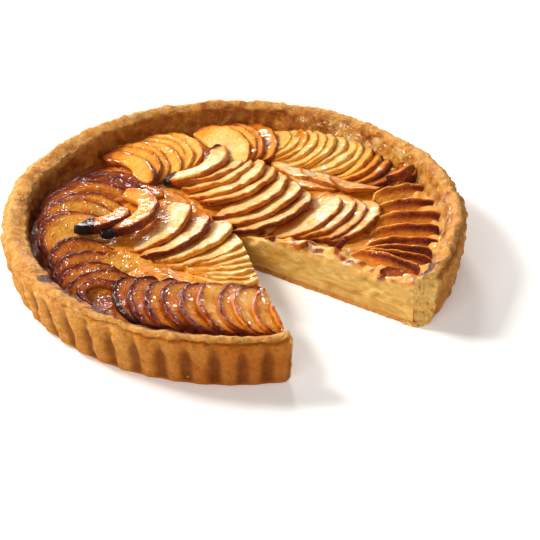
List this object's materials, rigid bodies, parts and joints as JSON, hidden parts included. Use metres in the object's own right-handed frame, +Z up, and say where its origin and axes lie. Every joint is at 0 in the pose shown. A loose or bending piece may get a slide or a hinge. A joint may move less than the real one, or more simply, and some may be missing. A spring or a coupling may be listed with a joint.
{
  "type": "apple tart",
  "caption": "Round fluted apple tart with a custard filling and fans of thin glazed apple slices, with one portion cut out.",
  "frame": {"origin": "on the surface that the tart stands on, below the middle of its round outline", "axes": "+Z up out of the tart, the shortest way through it; +Y to the back of the tart as seen here, with the cut-out portion to the front right"},
  "size_m": [0.26, 0.2599, 0.035],
  "materials": {
    "crust": "dry golden-brown baked shortcrust",
    "custard": "moist pale yellow baked custard with apple layers",
    "apple": "baked apple, browned at the edges, under a clear wet glaze"
  },
  "bodies": {
    "root": {"pastry_shell": "crust", "apple_custard_filling": "custard", "apple_fan_centre": "apple", "apple_fan_front": "apple", "apple_fan_left_centre": "apple", "apple_curl_front_left": "apple", "apple_fan_front_left": "apple", "apple_fan_back": "apple", "apple_fan_back_left": "apple", "apple_fan_back_right": "apple", "apple_loose_slice": "apple", "apple_knob_right": "apple", "apple_fan_right": "apple", "apple_scrap_right": "apple", "apple_fan_left": "apple"}
  },
  "joints": []
}
